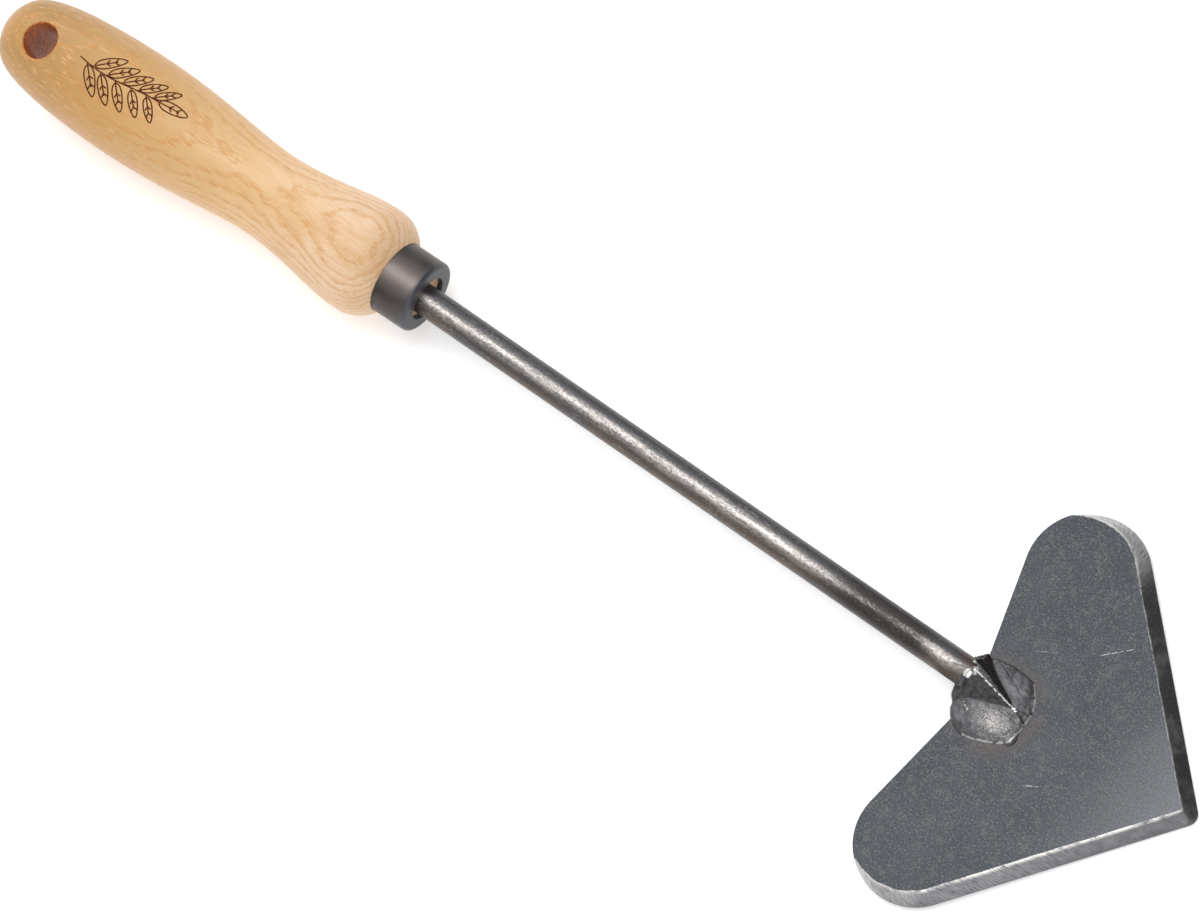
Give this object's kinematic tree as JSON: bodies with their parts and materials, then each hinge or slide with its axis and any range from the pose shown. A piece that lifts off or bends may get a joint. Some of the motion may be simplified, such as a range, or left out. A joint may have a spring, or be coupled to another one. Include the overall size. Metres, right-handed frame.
{
  "type": "hand hoe",
  "caption": "Short hand hoe: a flat heart-shaped steel blade, bevelled towards its tip, welded to a straight round bar in a turned wooden handle with a hole to hang it by.",
  "frame": {"origin": "on the blade's flat back, under the bar's axis, level with the centres of the two lobes", "axes": "+X along the bar towards the blade's tip, +Z square to the blade on its bevelled side, +Y to the left seen from the handle"},
  "size_m": [0.3753, 0.1105, 0.0296],
  "materials": {
    "ash": "turned ash, satin lacquer",
    "ferrule_steel": "dark brown-grey satin",
    "bar_steel": "dark mill scale, rubbed",
    "blade_steel": "dark blue-grey mill finish, ground bevel",
    "weld_steel": "weld bead, roughly ground"
  },
  "bodies": {
    "root": {"handle": "ash", "ferrule": "ferrule_steel", "shank": "bar_steel", "blade": "blade_steel", "weld": "weld_steel"}
  },
  "joints": []
}
